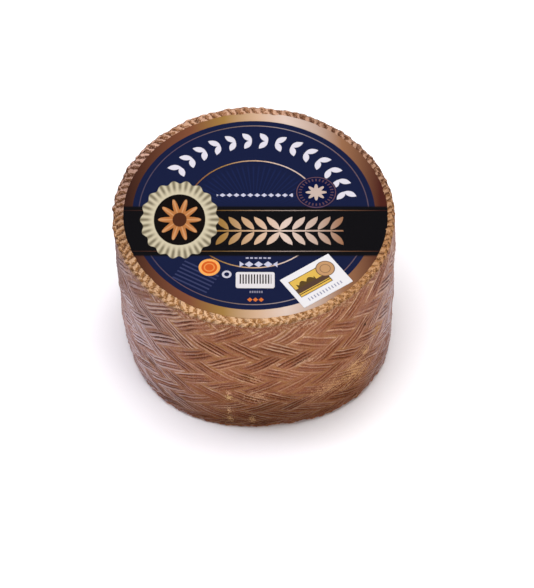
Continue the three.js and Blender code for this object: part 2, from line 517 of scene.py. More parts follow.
def add_rim(tree, sizes):
    """The groove, the knots and the flat seat under the label."""
    mesh, grid = add_grid(tree, sizes["blocks"], 2 * STEPS, RIM_ROWS + SEAT_ROWS)
    height, radius = follow_outline(tree, grid["row"], RIM_OUTLINE)
    known = {"steps": STEPS, "rows": RIM_ROWS, "seat_rows": SEAT_ROWS}
    known |= {"height": height, "radius": radius}
    place = vars(work_out(tree, RIM_PLACE, **known, **grid, **sizes))
    mesh = place_points(tree, mesh, place)
    place["knot_chance"] = chance(tree, place["number"], sizes["seed"])
    surface = work_out(tree, KNOT_RELIEF, **place | position(tree))
    mesh = store(tree, mesh, "relief", surface.relief)
    mesh = store_lattice(tree, mesh, place["around"], place["knot_row"], 1)
    return move_points(tree, mesh, vector_of(tree, 0, 0, surface.sink))


# No float and no knot lies quite where the rule puts it, and the foot's edge is ragged
STRAYING = """
rim = ease(z, 0.109, 0.113)
wide = 3.0 * mm * (1 - 0.5 * rim)
near = (0.5 + 2.3 * rim) * mm
free = ease(z, 0.004, 0.02) * ease(z, 0.114, 0.108)
frayed = 3 * mm * (ragged - 0.5) * ease(z, 0.012, 0.001) / foot_radius
x_shift = wide * (wide_x - 0.5) + near * (near_x - 0.5) + frayed * x
y_shift = wide * (wide_y - 0.5) + near * (near_y - 0.5) + frayed * y
z_shift = (wide * (wide_z - 0.5) + near * (near_z - 0.5)) * free
"""

# The straws and knots stand out along the surface's own direction, a little unevenly
STANDING_OUT = """
top = ease(z, 0.112, 0.114)
scale = straw_height + (knot_height - straw_height) * top
side = ease(z, 0.0002, 0.002)
push = (relief + (0.8 - 0.4 * top) * (wobble - 0.5)) * scale - top * 0.5 * knot_height
lift = (push + 0.9 * mm * (lump - 0.5)) * side - (1 - side) * 0.3 * mm * lump
"""


def shift_points(tree, mesh):
    """Moves each point sideways and up or down by soft noises."""
    known = {"foot_radius": SIDE_OUTLINE[0][1] * MM, "ragged": unevenness_at(tree, 2.7 * MM)}
    for name, size in (("wide", 22 * MM), ("near", 6 * MM)):
        colour = unevenness_at(tree, size).node.outputs["Color"]
        for axis, value in zip("xyz", parts_of(tree, colour)):
            known[f"{name}_{axis}"] = value
    shift = work_out(tree, STRAYING, **known, **position(tree))
    return move_points(tree, mesh, vector_of(tree, shift.x_shift, shift.y_shift, shift.z_shift))


def raise_relief(tree, mesh, sizes):
    """Pushes the straws and knots out."""
    known = {"relief": named_value(tree, "relief"), "wobble": unevenness_at(tree, 3.5 * MM)}
    known |= {"lump": unevenness_at(tree, 18 * MM, 2.0)}
    lift = work_out(tree, STANDING_OUT, **known, **sizes, **position(tree)).lift
    normal = add(tree, "GeometryNodeInputNormal")
    inputs = {0: normal, "Scale": lift}
    return move_points(tree, mesh, add(tree, "ShaderNodeVectorMath", inputs, operation="SCALE"))


def rind_tree(material, sizes):
    """The tree of the whole rind. Its inputs are the sizes, with a seed."""
    tree = bpy.data.node_groups.new("plaited_rind", "GeometryNodeTree")
    tree.interface.new_socket(name="Geometry", in_out="OUTPUT", socket_type="NodeSocketGeometry")
    for name, value in sizes.items():
        kind = "NodeSocketInt" if isinstance(value, int) else "NodeSocketFloat"
        label = name.replace("_", " ").capitalize()
        socket = tree.interface.new_socket(name=label, in_out="INPUT", socket_type=kind)
        socket.default_value = value
    given = tree.nodes.new("NodeGroupInput").outputs
    known = {name: given[name.replace("_", " ").capitalize()] for name in sizes}
    join = tree.nodes.new("GeometryNodeJoinGeometry")
    for part in (add_side(tree, known), add_rim(tree, known)):
        tree.links.new(part, join.inputs[0])
    inputs = {"Geometry": join.outputs[0], "Distance": JOIN_DISTANCE}
    mesh = shift_points(tree, add(tree, "GeometryNodeMergeByDistance", inputs))
    mesh = raise_relief(tree, mesh, known)
    mesh = add(tree, "GeometryNodeSetShadeSmooth", {"Geometry": mesh})
    mesh = add(tree, "GeometryNodeRealizeInstances", {"Geometry": mesh})
    mesh = add(tree, "GeometryNodeSetMaterial", {"Geometry": mesh, "Material": material})
    tree.links.new(mesh, tree.nodes.new("NodeGroupOutput").inputs[0])
    return tree


def grow(name, tree, sizes):
    """Runs a tree on an empty mesh and returns the result as a plain object."""
    carrier = new_object(name + "_carrier", bpy.data.meshes.new(name + "_carrier"))
    modifier = carrier.modifiers.new(name, "NODES")
    modifier.node_group = tree
    for item in tree.interface.items_tree:
        key = item.name.lower().replace(" ", "_")
        if item.in_out == "INPUT" and key in sizes:
            modifier[item.identifier] = sizes[key]
    graph = bpy.context.evaluated_depsgraph_get()
    mesh = bpy.data.meshes.new_from_object(carrier.evaluated_get(graph))
    mesh.name = name
    bpy.data.objects.remove(carrier)
    return new_object(name, mesh)


# The papers' shape


def paper_sheet(name, outline, rings, underside, thickness):
    """A thin closed sheet: its outline shrinks ring by ring to its middle, and it follows the
    height that underside gives at each place."""
    middle = sum(outline, Vector((0, 0))) / len(outline)
    points = []
    faces = []
    count = len(outline)
    for layer in (0, thickness):
        for ring in range(rings, 0, -1):
            for corner in outline:
                spot = middle + (corner - middle) * ring / rings
                points.append((*spot, underside(*spot) + layer))
        points.append((*middle, underside(*middle) + layer))
    layer_size = count * rings + 1
    for side in range(count):
        after = (side + 1) % count
        faces.append((side, after, layer_size + after, layer_size + side))
        for layer in (0, layer_size):
            for ring in range(rings - 1):
                outer, inner = layer + ring * count, layer + (ring + 1) * count
                quad = (outer + side, outer + after, inner + after, inner + side)
                faces.append(quad if layer else quad[::-1])
            last, tip = layer + (rings - 1) * count, layer + count * rings
            triangle = (last + side, last + after, tip)
            faces.append(triangle if layer else triangle[::-1])
    mesh = bpy.data.meshes.new(name)
    mesh.from_pydata(points, [], faces)
    mesh.validate()
    mesh.update()
    return new_object(name, mesh)


def paper_wave(x, y):
    """The faint waves of paper that was glued on damp cheese."""
    return WAVE_HEIGHT * noise.noise(Vector((x, y, WAVE_PLACE)) / WAVE_LENGTH)


# Materials


# Soft noises over the rind: name, size of their lumps in mm, and detail
RIND_NOISES = (("cloud", 30, 3.0), ("patch", 9, 2.0), ("fleck", 3, 2.0), ("grit", 0.9, 2.0))
# The vectors that the mesh keeps for the material, and the names of their parts
RIND_VECTORS = (("straw", "along", "across", "number"), ("lattice", "around", "knot_row", "zone"))


def rind_fields(tree, straws):
    """What the rind's look is worked out from: the place in mm and in the plait, and noises."""
    spot = add(tree, "ShaderNodeTexCoord").node.outputs["Object"]
    inputs = {0: spot, 1: PRINT_MIDDLE}
    from_middle = add(tree, "ShaderNodeVectorMath", inputs, operation="SUBTRACT")
    place = add(tree, "ShaderNodeVectorMath", {0: from_middle, "Scale": 1 / MM}, operation="SCALE")
    values = dict(zip("xy", parts_of(tree, place))) | {"height": parts_of(tree, spot)["Z"]}
    for name in ("relief", "depth"):
        values[name] = add(tree, "ShaderNodeAttribute", attribute_name=name).node.outputs["Fac"]
    for name, *parts in RIND_VECTORS:
        kept = add(tree, "ShaderNodeAttribute", attribute_name=name).node.outputs["Vector"]
        values |= dict(zip(parts, parts_of(tree, kept)))
    for name, size, detail in RIND_NOISES:
        inputs = {"Vector": spot, "Scale": 1 / (size * MM), "Detail": detail}
        values[name] = add(tree, "ShaderNodeTexNoise", inputs)
    text = """
z = height / mm
turn = angle(x, -y) * degrees
fibre_x = along * 1.5
fibre_y = across * 26
straw_number = floor(across * straws) + straws * number
"""
    at = work_out(tree, text, straws=straws, **values)
    fibre_spot = vector_of(tree, at.fibre_x, at.fibre_y, at.number)
    inputs = {"Vector": fibre_spot, "Scale": 1.0, "Detail": 2.0}
    at.strands = add(tree, "ShaderNodeTexNoise", inputs)
    inputs = {"W": at.straw_number}
    at.straw_chance = add(tree, "ShaderNodeTexWhiteNoise", inputs, noise_dimensions="1D")
    text = """
ridge = abs(sin(pi * straws * across))
from_edge = min(across, 1 - across)
inner = from_edge * straws > 0.5
seam = (1 - ease(min(from_edge, 0.6 * min(along, 2 - along)), 0, 0.11)) * (zone < 0.5)
on_rim = ease(z + 4 * (patch - 0.5) + 6 * (fleck - 0.5) + 5 * (grit - 0.5), 112.9, 114.1)
under = ease(zone, -0.1, -0.9)
on_side = (1 - on_rim) * (1 - under)
"""
    return work_out(tree, text, **vars(at))


def side_colour(tree, at, colours):
    """Orange-brown crests with a painted highlight along them, red-brown grooves between the straws
    with painted shade in them, golden seams between the floats, pale lines where the crests are
    worn, painted shade towards the foot and on the left flank, and a grey painted sheen at the left
    and at the right."""
    text = """
cut = (1 - ease(ridge, 0, 0.9)) * inner
left = ease(turn, -12, -61) * ease(turn, -160, -110)
right = ease(turn, 45, 78) * ease(turn, 160, 110)
plain = 1 - 0.35 * ease(z, 78, 104) * (1 - left)
dull = 0.35 * straw_chance
streak = (0.45 + 0.45 * left + 0.3 * right) * ease(strands + 0.3 * (grit - 0.5), 0.48, 0.7)
line = (0.58 + 0.4 * left) * cut * slope(depth, 0, 0.4) * plain
deep = (0.28 + 0.68 * left + 0.4 * right) * cut * ease(depth, 0.38, 0.8) * plain
light = ease(strands + 0.7 * (straw_chance - 0.5), 0.42, 0.7)
crest = 0.6 * ease(ridge, 0.65, 1) * light
gold = 0.5 * seam * ease(patch + 0.4 * (strands - 0.5) + 0.4 * (grit - 0.5), 0.38, 0.62)
high = 0.12 * ease(z, 60, 100)
worn = 0.8 * ease(ridge, 0.6, 1) * ease(patch + 0.6 * (cloud - 0.5) + high, 0.56, 0.7) * light
speck = (0.4 + 0.3 * ease(z, 98, 108)) * ease(grit + 0.3 * (fleck - 0.5), 0.5, 0.75)
foot = 0.58 * ease(z, 60, 2) * (1 - 0.45 * ease(abs(turn), 12, 50))
mauve_patch = patch + 0.5 * (grit - 0.5) + 0.3 * (strands - 0.5)
rosy = 0.36 * ease(turn, 36, 58) * ease(turn, 150, 110) * ease(z, 15, 45)
mauve = (0.3 + 0.15 * left + 0.3 * right) * ease(mauve_patch, 0.48, 0.62) + rosy
olive = 0.42 * ease(patch + 0.5 * (grit - 0.5) + 0.3 * (fleck - 0.5), 0.46, 0.35)
glint = 0.34 * ease(grit + 0.4 * (fleck - 0.5), 0.45, 0.3)
far_left = ease(turn, -62, -84) * ease(turn, -125, -100)
shade = 0.46 * left * ease(z, 35, 85) + 0.35 * far_left * ease(z, 15, 50)
warm = 0.22 * ease(turn, 12, 28) * ease(turn, 64, 48) * ease(z, 104, 84)
damp = 0.3 * ease(cloud, 0.5, 0.72)
bloom_line = ease(ridge, 0.25, 0.8) * ease(strands + 0.5 * (straw_chance - 0.5), 0.34, 0.62)
low = 1 - 0.5 * ease(z, 50, 100)
haze = (0.1 + 0.1 * ease(turn, -35, -65)) * (1 - cut)
bloom_share = haze + 0.85 * bloom_line
bloom = (left * (0.83 - 0.5 * far_left) + 0.88 * right) * low * bloom_share * (0.7 + 0.6 * patch)
crumb = 0.7 * ease(z, 103, 112) * ease(grit + 0.6 * (patch - 0.5), 0.46, 0.36)
"""
    share = work_out(tree, text, **vars(at))
    return paint(
        tree,
        paint(tree, colours.rind, (colours.rind_clouds, at.cloud)),
        ("#9a604a", share.dull),
        ("#7a432b", share.streak),
        ("#845448", share.mauve),
        ("#8c5e30", share.olive),
        # Painted shade in the grooves between the straws, darkest on the left flank
        (colours.groove, share.line),
        ("#2c1009", share.deep),
        # Painted highlight along the crests of the straws, together with their rubbed wear
        (colours.crest, share.crest),
        (colours.seam, share.gold),
        ("#e3b894", share.worn),
        ("#6c3e2b", share.speck),
        ("#cf9f78", share.glint),
        ("#774121", share.warm),
        ("#6b3820", share.damp),
        # Painted shade towards the foot, strongest at the front
        ("#381a09", share.foot),
        # Painted shade on the left flank, strongest at its far edge
        ("#4a2c20", share.shade),
        # Painted sheen: a grey reflection of the light painted on the crests of the left and right
        # flanks
        (colours.bloom, share.bloom),
        ("#c39c78", share.crumb),
    )


def under_colour(tree, at, colours):
    """The underside: the rind's brown, darker in clouds, rubbed pale in spots, with the threads of
    the cloth that it was pressed on, 3 mm apart."""
    text = """
thread = max(ease(abs(sin(1.05 * x)), 0.3, 0.1), ease(abs(sin(1.05 * y)), 0.3, 0.1))
clouds = 0.75 * ease(cloud + 0.3 * (grit - 0.5), 0.42, 0.6)
mottle = 0.6 * ease(patch + 0.6 * (grit - 0.5), 0.5, 0.62)
threads = 0.45 * thread * ease(patch + 0.5 * (fleck - 0.5), 0.32, 0.5)
rubbed = 0.55 * ease(fleck + 0.7 * (grit - 0.5) + 0.4 * (patch - 0.5), 0.54, 0.68)
"""
    share = work_out(tree, text, **vars(at))
    return paint(
        tree,
        colours.rind_clouds,
        (colours.rind, share.clouds),
        ("#7a472c", share.mottle),
        (colours.groove, share.threads),
        (colours.crest, share.rubbed),
    )


def rim_colour(tree, at, colours):
    """Cream and golden blocks in two staggered rows, mottled, with brown lines between them where
    the rim wasn't rubbed."""
    text = """
away = abs(knot_row - 1.5)
bar = 2 * around + 0.4 * away + 0.5 * (knot_row > 1.5)
behind = ease(y, -20, 50)
pink = ease(y, -20, 20) * ease(-x, 30, 60)
back = ease(y, 50, 80) * (1 - ease(x, 5, 45))
shade_left = 0.2 * ease(turn, -25, -45) * (1 + 1.1 * ease(turn, -50, -100)) * ease(turn, -130, -112)
shade = shade_left + 0.13 * ease(turn, 55, 78) * ease(turn, 135, 112)
front = ease(-y, 55, 85)
glow = front * (1 - 0.7 * ease(x, 5, 35))
right = ease(x, 20, 70) * (1 - behind)
stray = (0.5 + 1.6 * front) * (patch - 0.5) + 0.8 * (fleck - 0.5) + 0.7 * (grit - 0.5)
from_block = abs(repeat(bar + stray + 0.15, 1))
width = 0.2 + 0.4 * (cloud - 0.5) + 0.4 * (patch - 0.5) - 0.08 * right
rubbed = (0.9 - 0.35 * right) * ease(from_block, width + 0.06, width - 0.06)
golden = 0.9 * (1 - 0.3 * behind) * ease(from_block + 0.7 * (fleck - 0.5), 0.24, 0.36)
aside = ease(abs(turn), 45, 80)
bent = bar + (0.4 + 0.5 * aside) * (fleck - 0.5) + 0.5 * aside * (patch - 0.5)
line = ease(abs(repeat(bent, 1)) + 0.3 * (grit - 0.5), 0.32, 0.43)
gap = line * (0.22 + 0.68 * aside - 0.2 * ease(y, 72, 88))
pit = (0.75 - 0.2 * ease(-y, 80, 90)) * ease(grit + 0.3 * (0.5 - relief), 0.52, 0.7)
crumb = 0.55 * ease(grit, 0.46, 0.34)
"""
    share = work_out(tree, text, **vars(at))
    cream = paint(tree, colours.rim, ("#ba916b", share.right), ("#a37f69", share.behind))
    cream = paint(tree, cream, ("#c09a89", share.pink), ("#b89279", share.back))
    tan = paint(tree, "#986d48", ("#a87a4c", share.glow), ("#6c4935", share.behind))
    tan = paint(tree, tan, ("#8c6246", share.back))
    golden = paint(tree, "#885c33", ("#4c2e1e", share.behind), ("#7a5031", share.back))
    return paint(
        tree,
        tan,
        (golden, share.golden),
        (cream, share.rubbed),
        ("#3d2015", share.gap),
        ("#553420", share.pit),
        (cream, share.crumb),
        # Painted shade at the left and right of the rim
        ("#3a2216", share.shade),
    )


# Blots on the rind: turn from the front and height of the middle in degrees and mm, half width and
# half height, colour, and how fully the blot covers
BLOTS = (
    ("golden drip, upper bead", -10.4, 39, 1.1, 2.4, "#d9a982", 0.95),
    ("golden drip, second bead", -10.4, 34, 1.3, 2.6, "#e6c27e", 1.0),
    ("golden drip, middle bead", -10.5, 20, 1.3, 3.4, "#cfa273", 0.95),
    ("golden drip, lower bead", -10.0, 9.5, 1.4, 4.5, "#cba068", 0.95),
    ("golden worn streak, upper part", 51, 47, 2.4, 5, "#d8aa76", 0.85),
    ("golden worn streak, lower part", 44.5, 40, 3.2, 4, "#d8aa76", 0.85),
    ("golden worn patch", 45, 31, 8, 9, "#cf9e68", 0.8),
    ("golden worn patch near the front", 33, 31, 8, 7, "#cb986a", 0.75),
    ("pale worn patch beside the drip", 0.8, 37, 4.5, 6, "#d3a27c", 0.75),
    ("pale flecks above it", 0.2, 56, 3, 4, "#dca97e", 0.7),
    ("pale spot at the foot", -0.7, 10.5, 1.6, 3.2, "#c09566", 0.85),
    ("tan streak", 60, 53, 3, 7, "#c9a27a", 0.5),
    ("golden crumb", 59.2, 54.5, 3.6, 5.0, "#b07c3c", 1.0),
    ("dark dot", 50.8, 73.2, 0.9, 1.7, "#1c0a06", 1.0),
    ("dark dot below it", 50.1, 69.3, 0.7, 1.2, "#3a1d14", 0.9),
    ("upper dark dot", 56.3, 89, 1.0, 1.4, "#371a1a", 1.0),
    ("olive dot", 56.9, 84, 1.2, 1.4, "#6b5226", 0.9),
    ("cream strokes under the rim", 23.5, 109, 4, 2.2, "#dfbb98", 0.65),
    ("cream strokes", 22.5, 70, 4, 2.2, "#dcb391", 0.65),
    ("cream spot", 10, 71, 1, 1.5, "#dcb999", 0.7),
)


def blot_layers(tree, at):
    """The blots, with frayed edges, and fainter in the grooves."""
    text = """
away = length((turn - blot_turn) / half_width, (z - blot_height) / half_height)
frayed = 0.35 + 0.65 * away + 0.9 * (fleck - 0.5) + 0.9 * (strands - 0.5)
share = cover * ease(frayed + 3.4 * (grit - 0.5), 0.95, 0.5) * (0.35 + 0.65 * ridge)
"""
    layers = []
    for _, turn, height, half_width, half_height, colour, cover in BLOTS:
        known = {"blot_turn": turn, "blot_height": height, "cover": cover}
        known |= {"half_width": half_width, "half_height": half_height}
        layers.append((colour, work_out(tree, text, **vars(at), **known).share))
    return layers


def rind_material(given, colours):
    """Waxy pressed rind: satin brown crests, dark red-brown grooves with painted shade between the
    straws, worn golden seams between the floats, a cream rim, and a faint painted sheen on the
    flanks."""
    material, tree, shader = new_material("waxy_pressed_rind")
    at = rind_fields(tree, given.straws_in_float)
    side = paint(tree, side_colour(tree, at, colours), *blot_layers(tree, at))
    ends = ((under_colour(tree, at, colours), at.under), (rim_colour(tree, at, colours), at.on_rim))
    colour = paint(tree, side, *ends)
    text = """
straw = straw_height * depth * (1 - inner * (1 - ridge ** 0.8))
cloth = 0.2 * under * abs(sin(1.05 * x)) ** 0.5 * abs(sin(1.05 * y)) ** 0.5
height = on_side * (straw + 0.15 * seam + 0.12 * strands) + 0.12 * grit + cloth
rough = 0.45 + 0.25 * grit
"""
    fine = work_out(tree, text, straw_height=given.straw_height / MM, **vars(at))
    normal = add(tree, "ShaderNodeBump", {"Strength": 0.85, "Distance": MM, "Height": fine.height})
    dress(
        tree,
        shader,
        Base_Color=colour,
        Roughness=fine.rough,
        Normal=normal,
        IOR=1.45,
        Specular_IOR_Level=0.12,
        Sheen_Weight=0.04,
        Sheen_Roughness=0.3,
        Sheen_Tint=linear_colour("#d9dcff"),
    )
    return material


# The foil's colours at places across the label, in mm from its middle: its gold with a painted
# reflection, dark at both ends and light near the middle
FOIL_REFLECTION_STOPS = (
    (-84, "#2f1a14"),
    (-42, "#6a3f2b"),
    (-20, "#876635"),
    (2, "#b19277"),
    (21, "#bba79b"),
    (42, "#a38c7e"),
    (59, "#80593f"),
    (84, "#3f1c16"),
)


def colour_run(tree, place, stops):
    """A colour ramp over a place in mm, each stop a (place, colour) pair."""
    low, high = stops[0][0], stops[-1][0]
    share = work_out(tree, "share = slope(place, low, high)", place=place, low=low, high=high).share
    ramp = add(tree, "ShaderNodeValToRGB", {"Fac": share})
    elements = ramp.node.color_ramp.elements
    while len(elements) < len(stops):
        elements.new(0.5)
    for element, (spot, colour) in zip(elements, stops):
        element.position = (spot - low) / (high - low)
        element.color = linear_colour(colour)
    return ramp


def print_place(tree, middle, turn=0.0):
    """The place on a print in mm from its middle, turned with it."""
    spot = add(tree, "ShaderNodeTexCoord").node.outputs["Object"]
    inputs = {"Vector": spot, "Scale": (1 / MM,) * 3}
    inputs |= {"Location": (-middle.x / MM, -middle.y / MM, 0)}
    moved = add(tree, "ShaderNodeMapping", inputs)
    turned = add(tree, "ShaderNodeMapping", {"Vector": moved, "Rotation": (0, 0, -turn)})
    return parts_of(tree, turned)[:2]


def field_layers(tree, x, y, foil, colours):
    """The navy field with its rings and faint rays, and the white leaves round its top."""
    text = """
r = length(x, y)
turn = angle(y, x) * degrees
field = ease(r, 80.6, 80.2)
outer_ring = ease(abs(r - 76.1), 0.5, 0.2) * 0.75
inner_ring = ease(abs(r - 45.5), 0.6, 0.25)
ray = ease(sin(turn * 1.2), 0.2, 0.9) * ease(r, 44, 38) * ease(y, 6, 16) * 0.3
aside = abs(turn - 79)
up = abs(r - 63)
leaves = leaf(repeat(aside, 9.86) * 10.84, up - 3.1, 2.15, 21) * (aside < 69) * (up < 7)
"""
    at = work_out(tree, text, x=x, y=y)
    dim_foil = paint(tree, foil, ("#4c4d63", 0.5))
    navy = paint(tree, colours.label_field, ("#1b2650", at.ray))
    field = paint(tree, navy, (dim_foil, at.outer_ring), (foil, at.inner_ring))
    return [(field, at.field), (colours.leaves, at.leaves)]


def band_layers(tree, x, y, foil, colours):
    """The black band across the label, with its golden hairlines and leaf spray."""
    text = """
band = ease(y, 7.4, 5.2) * ease(y, -36.8, -34.6)
hairline = max(ease(abs(y - 2.8), 0.5, 0.2), ease(abs(y + 31.7), 0.5, 0.2)) * 0.45
aside = abs(x - 17)
up = abs(y + 14.5)
stem = ease(up, 0.75, 0.5)
spray = max(leaf(cell(aside, 8.4), up - 6.4, 2.3, 52), stem) * (aside < 42) * (up < 13.5)
"""
    at = work_out(tree, text, x=x, y=y)
    return [(colours.label_band, at.band), (foil, at.hairline), (foil, at.spray)]


def rosette_layers(tree, x, y):
    """The large cream rosette at the left, a pleated ruff round a flower, and the small dial."""
    text = """
u = (x + 49) / 26
v = (y + 5) / 33
r = length(u, v)
turn = angle(v, u)
edge = 0.97 + 0.035 * cos(turn * 18)
plate = ease(r, edge + 0.01, edge - 0.01)
pleat = (0.5 + 0.5 * cos(turn * 36)) * ease(r, 0.66, 0.85) * 0.8
hollow = ease(r, 0.665, 0.645)
petals = 0.4 + 0.14 * cos(turn * 10)
flower = ease(r, petals + 0.02, petals - 0.02)
vein = ease(cos(turn * 10), 0.6, 1.0) * flower * 0.6
heart = ease(r, 0.19, 0.17)
p = x - 41.4
q = y - 18.3
s = length(p, q)
spin = angle(q, p)
dial = ease(s, 14.0, 13.6)
rim = ease(abs(s - 12.9), 0.5, 0.25) * 0.55
ticks = ease(abs(s - 10.6), 1.2, 0.9) * ease(cos(spin * 28), 0.1, 0.5) * 0.5
star = ease(s, 5.6 + 1.6 * cos(spin * 8), 5.2 + 1.6 * cos(spin * 8))
"""
    at = work_out(tree, text, x=x, y=y)
    ruff = paint(tree, "#b0a68d", ("#4d4430", at.pleat))
    return [
        (ruff, at.plate),
        ("#0e0a09", at.hollow),
        ("#9a6236", at.flower),
        ("#b88a60", at.vein),
        ("#3f2114", at.heart),
        ("#0a1030", at.dial),
        ("#684a4c", at.rim),
        ("#684a4c", at.ticks),
        ("#a8968c", at.star),
    ]


def small_layers(tree, x, y):
    """Rows of dots and dashes, a striped white panel, an orange disc and a few small marks."""
    text = """
row_a = cell(x, 4.6)
bead_a = ease(abs(row_a) * 0.8 + abs(y - 15.9), 1.75, 1.45) * (abs(x - 0.7) < 25.3)
row_b = cell(x, 6.2)
bead_b = ease(abs(row_b) * 0.85 + abs(y + 42.6), 2.6, 2.3) * (abs(x - 3.1) < 12.4)
row_c = cell(x, 2.9)
dash_c = ease(abs(y + 37.4), 0.75, 0.45) * ease(abs(row_c), 1.1, 0.8) * (abs(x - 2.9) < 8.7) * 0.8
white = max(max(bead_a, bead_b), dash_c)
u = abs(x - 0.9)
v = abs(y + 55.8)
panel = ease(length(max(u - 11.2, 0), max(v - 5.2, 0)), 1.6, 1.4)
stripe = ease(sin(x * 3.4), -0.2, 0.3) * (u < 10.6) * (abs(y + 54.9) < 3.9)
disc_r = length(x + 29.1, y + 45.2)
disc = ease(disc_r, 7.2, 6.9)
disc_heart = ease(disc_r, 5.3, 5.0)
disc_ring = ease(abs(disc_r - 3.2), 0.6, 0.3) * 0.6
mark = ease(abs(length(x + 17.7, y + 51.0) - 2.4), 0.85, 0.6)
slant_x = (x + 38) * 0.87 - (y + 53) * 0.5
slant_y = (x + 38) * 0.5 + (y + 53) * 0.87
lines = ease(abs(repeat(slant_y, 3.1)), 0.24, 0.14)
faint = lines * (abs(slant_x) < 13) * (abs(slant_y) < 9.2) * 0.3
row_d = cell(x, 1.5)
dash_d = ease(abs(y + 65.6), 1.0, 0.7) * ease(abs(row_d), 0.6, 0.4) * (abs(x - 1.5) < 4.5) * 0.6
row_e = cell(x + 0.75, 3.7)
lozenge = ease(abs(row_e) + abs(y + 72), 1.9, 1.6) * (abs(x - 1.1) < 5.5)
"""
    at = work_out(tree, text, x=x, y=y)
    return [
        ("#a9a8ba", at.white),
        ("#4c5076", at.faint),
        ("#8f8c9c", at.dash_d),
        ("#b5602a", at.lozenge),
        ("#bfbabb", at.panel),
        ("#26211f", at.stripe),
        ("#cf8f4a", at.disc),
        ("#b24d1c", at.disc_heart),
        ("#cf8f4a", at.disc_ring),
        ("#aaa7b2", at.mark),
    ]


def label_material(colours):
    """Offset-printed label paper with a satin lacquer and foil-like golden rings, whose gold is
    painted light near the middle and dark at the sides as a reflection.
    """
    material, tree, shader = new_material("lacquered_label_paper")
    x, y = print_place(tree, PRINT_MIDDLE)
    # The gold of the rings with a painted reflection: dark at the left and right, light near the
    # middle
    foil = colour_run(tree, x, FOIL_REFLECTION_STOPS)
    print_colour = paint(
        tree,
        foil,
        *field_layers(tree, x, y, foil, colours),
        *band_layers(tree, x, y, foil, colours),
        *rosette_layers(tree, x, y),
        *small_layers(tree, x, y),
    )
    dress(tree, shader, Base_Color=print_colour, Roughness=0.22, Specular_IOR_Level=0.2)
    return material


def sticker_material(colours):
    """Uncoated white sticker paper with a small print: a yellow field with a brown band, a tan disc
    and a row of ticks."""
    material, tree, shader = new_material("white_sticker_paper")
    x, y = print_place(tree, STICKER_MIDDLE, STICKER_TURN)
    text = """
u = abs(x + 3.4)
v = abs(y - 1.6)
frame = (u < 12.6) * (v < 7.6)
field = (u < 12.1) * (v < 7.1)
band = (u < 12.1) * (abs(y + 0.6) < 2.0)
rule = (u < 12.1) * (abs(y + 3.6) < 0.35)
peaks = (y - 3.2 < 2.2 * abs(sin(x * 0.55))) * (y > 1.4) * (abs(x + 6) < 7)
disc_r = length(x - 10.6, y - 5.0)
disc = ease(disc_r, 6.4, 6.1)
disc_edge = ease(abs(disc_r - 6.1), 0.4, 0.2)
disc_ring = ease(abs(disc_r - 3.4), 0.4, 0.2) * 0.7
tick = cell(x, 2.3)
ticks = (abs(y + 10.0) < 1.25) * (abs(tick) < 0.42) * (abs(x) < 14) * 0.75
"""
    at = work_out(tree, text, x=x, y=y)
    colour = paint(
        tree,
        colours.sticker,
        ("#4a3818", at.frame),
        ("#bd9a44", at.field),
        ("#463226", at.band),
        ("#4a3818", at.rule),
        ("#4a3818", at.peaks),
        ("#a47d56", at.disc),
        ("#5a4030", at.disc_edge),
        ("#5a4030", at.disc_ring),
        ("#4a4e70", at.ticks),
    )
    dress(tree, shader, Base_Color=colour, Roughness=0.5, Specular_IOR_Level=0.3)
    return material


# The pieces


def rind_sizes(given):
    """What the rind's tree takes: the user's sizes, and what fits the wheel to its place."""
    return {
        "blocks": given.blocks_around,
        "straws": given.straws_in_float,
        "seed": given.seed,
        "straw_height": given.straw_height,
        "knot_height": given.knot_height,
        "unevenness": given.unevenness,
        "phase": PLAIT_TURN,
        "rim_height": RIM_HEIGHT * MM,
        "lean": FOOT_LEAN,
        "squareness": FOOT_SQUARENESS,
        "square_turn": SQUARE_TURN,
        "middle_x": PRINT_MIDDLE.x,
        "middle_y": PRINT_MIDDLE.y,
        "label_x": LABEL_MIDDLE.x,
        "label_y": LABEL_MIDDLE.y,
        "label_radius": LABEL_RADIUS,
    }


def make_rind(given, colours):
    """The cheese with its rind, grown by the tree."""
    sizes = rind_sizes(given)
    tree = rind_tree(rind_material(given, colours), sizes)
    piece = grow("pressed_rind", tree, sizes)
    hand_over(piece, "cheese_wheel")


def turns_round(sides):
    """Directions that are spaced evenly round a circle."""
    turns = (2 * math.pi * side / sides for side in range(sides))
    return [Vector((math.cos(turn), math.sin(turn))) for turn in turns]


def make_paper(name, outline, rings, low, thickness, material):
    """A sheet of paper that lies at a height in faint waves."""
    piece = paper_sheet(name, outline, rings, lambda x, y: low + paper_wave(x, y), thickness)
    piece.data.materials.append(material)
    return piece


def make_label(colours):
    """The round label, of the size and at the place of its part in model.glb."""
    middle = Vector(LABEL_MIDDLE[:2])
    outline = [middle + LABEL_RADIUS * away for away in turns_round(LABEL_SIDES)]
    low, thickness = LABEL_LOW.z, LABEL_HIGH.z - LABEL_LOW.z
    material = label_material(colours)
    piece = make_paper("printed_label", outline, LABEL_RINGS, low, thickness, material)
    hand_over(piece, "top_label")


def rounded_corners(width, depth, corner, steps):
    """The outline of a rectangle with round corners, anticlockwise from its right side."""
    points = []
    for quarter in range(4):
        sign_x = 1 if quarter in (0, 3) else -1
        sign_y = 1 if quarter < 2 else -1
        hub = Vector((sign_x * (width / 2 - corner), sign_y * (depth / 2 - corner)))
        for step in range(steps + 1):
            turn = math.pi / 2 * (quarter + step / steps)
            points.append(hub + corner * Vector((math.cos(turn), math.sin(turn))))
    return points


def evened(points, step):
    """The outline with more points, no further apart than step."""
    result = []
    for start, end in zip(points, points[1:] + points[:1]):
        parts = max(1, math.ceil((end - start).length / step))
        result += [start.lerp(end, part / parts) for part in range(parts)]
    return result


